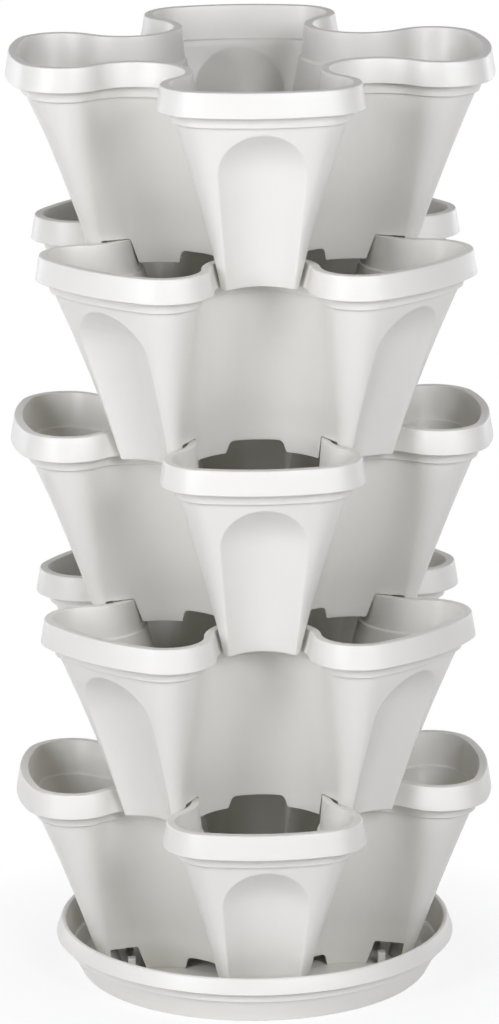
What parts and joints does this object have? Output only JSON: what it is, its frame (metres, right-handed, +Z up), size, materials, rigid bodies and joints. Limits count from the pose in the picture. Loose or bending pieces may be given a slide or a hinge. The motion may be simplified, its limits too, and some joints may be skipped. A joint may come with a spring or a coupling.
{
  "type": "tiered plant stand",
  "caption": "Tower of four-lobed stacking plant pots, each turned to the next, on a round saucer, with a drainage disc in each pot.",
  "frame": {"origin": "centre of the saucer's underside, on the ground", "axes": "+Z up the stack, -Y to the front, with the lobes of the bottom, middle and top pots along X and Y"},
  "size_m": [0.3048, 0.3048, 0.6007],
  "materials": {
    "pot_plastic": "satin moulded polypropylene, warm pale grey",
    "disc_plastic": "satin moulded polypropylene, pale grey"
  },
  "bodies": {
    "saucer": {"saucer": "pot_plastic"},
    "pot_1": {"pot_1": "pot_plastic"},
    "pot_2": {"pot_2": "pot_plastic"},
    "pot_3": {"pot_3": "pot_plastic"},
    "pot_4": {"pot_4": "pot_plastic"},
    "pot_5": {"pot_5": "pot_plastic"},
    "drain_disc_1": {"drain_disc_1": "disc_plastic"},
    "drain_disc_2": {"drain_disc_2": "disc_plastic"},
    "drain_disc_3": {"drain_disc_3": "disc_plastic"},
    "drain_disc_4": {"drain_disc_4": "disc_plastic"},
    "drain_disc_5": {"drain_disc_5": "disc_plastic"}
  },
  "joints": [
    {"name": "pot_1_lift", "type": "slide", "parent": "saucer", "child": "pot_1", "axis": [0, 0, 1], "range_m": [0, 0.06]},
    {"name": "pot_2_lift", "type": "slide", "parent": "pot_1", "child": "pot_2", "axis": [0, 0, 1], "range_m": [0, 0.06]},
    {"name": "pot_3_lift", "type": "slide", "parent": "pot_2", "child": "pot_3", "axis": [0, 0, 1], "range_m": [0, 0.06]},
    {"name": "pot_4_lift", "type": "slide", "parent": "pot_3", "child": "pot_4", "axis": [0, 0, 1], "range_m": [0, 0.06]},
    {"name": "pot_5_lift", "type": "slide", "parent": "pot_4", "child": "pot_5", "axis": [0, 0, 1], "range_m": [0, 0.06]},
    {"name": "drain_disc_1_lift", "type": "slide", "parent": "pot_1", "child": "drain_disc_1", "axis": [0, 0, 1], "range_m": [0, 0.1]},
    {"name": "drain_disc_2_lift", "type": "slide", "parent": "pot_2", "child": "drain_disc_2", "axis": [0, 0, 1], "range_m": [0, 0.1]},
    {"name": "drain_disc_3_lift", "type": "slide", "parent": "pot_3", "child": "drain_disc_3", "axis": [0, 0, 1], "range_m": [0, 0.1]},
    {"name": "drain_disc_4_lift", "type": "slide", "parent": "pot_4", "child": "drain_disc_4", "axis": [0, 0, 1], "range_m": [0, 0.1]},
    {"name": "drain_disc_5_lift", "type": "slide", "parent": "pot_5", "child": "drain_disc_5", "axis": [0, 0, 1], "range_m": [0, 0.15]}
  ]
}
